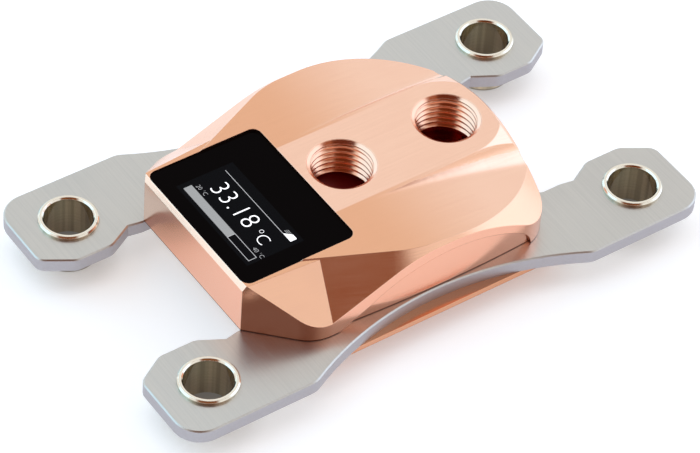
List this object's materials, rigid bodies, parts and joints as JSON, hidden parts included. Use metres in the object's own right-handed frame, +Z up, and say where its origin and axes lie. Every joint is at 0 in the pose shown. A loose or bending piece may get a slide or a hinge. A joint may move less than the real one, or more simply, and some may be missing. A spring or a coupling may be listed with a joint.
{
  "type": "liquid cooling cold plate",
  "caption": "Liquid cooling cold plate: copper housing with two threaded ports and a display window, on a flat steel mounting plate with sleeved screw holes in its arms.",
  "frame": {"origin": "centre of the hole pattern, level with the feet of the sleeves", "axes": "+Z up out of the ports, ports in line along Y with the display at the -Y end, X across the plate"},
  "size_m": [0.0684, 0.1168, 0.0201],
  "materials": {
    "housing_copper": "satin brushed copper",
    "base_copper": "machined copper",
    "plate_steel": "brushed",
    "sleeve_steel": "turned and polished",
    "screw_steel": "plain steel",
    "seal_rubber": "matte",
    "insert_plastic": "moulded",
    "chip_plastic": "moulded",
    "board_green": "coated laminate",
    "ribbon_amber": "film",
    "contact_gold": "plated",
    "display_dark": "dark panel",
    "window_glass": "tinted gloss"
  },
  "bodies": {
    "root": {"top_housing": "housing_copper", "mounting_plate": "plate_steel", "cold_plate": "base_copper", "sleeve_front_left": "sleeve_steel", "sleeve_front_right": "sleeve_steel", "sleeve_rear_left": "sleeve_steel", "sleeve_rear_right": "sleeve_steel", "main_seal": "seal_rubber", "jet_plate": "plate_steel", "flow_insert": "chip_plastic", "base_screws": "screw_steel", "locating_pins": "screw_steel", "display_window": "window_glass", "window_gasket": "seal_rubber", "display_cell": "display_dark", "backlight": "insert_plastic", "display_carrier": "insert_plastic", "display_ribbon": "ribbon_amber", "ribbon_connector": "chip_plastic", "display_board": "board_green", "board_screws": "screw_steel", "controller_chip": "chip_plastic", "power_chip": "chip_plastic", "temperature_sensor": "screw_steel", "sensor_seal": "seal_rubber", "data_socket": "chip_plastic", "socket_contacts": "contact_gold"}
  },
  "joints": []
}
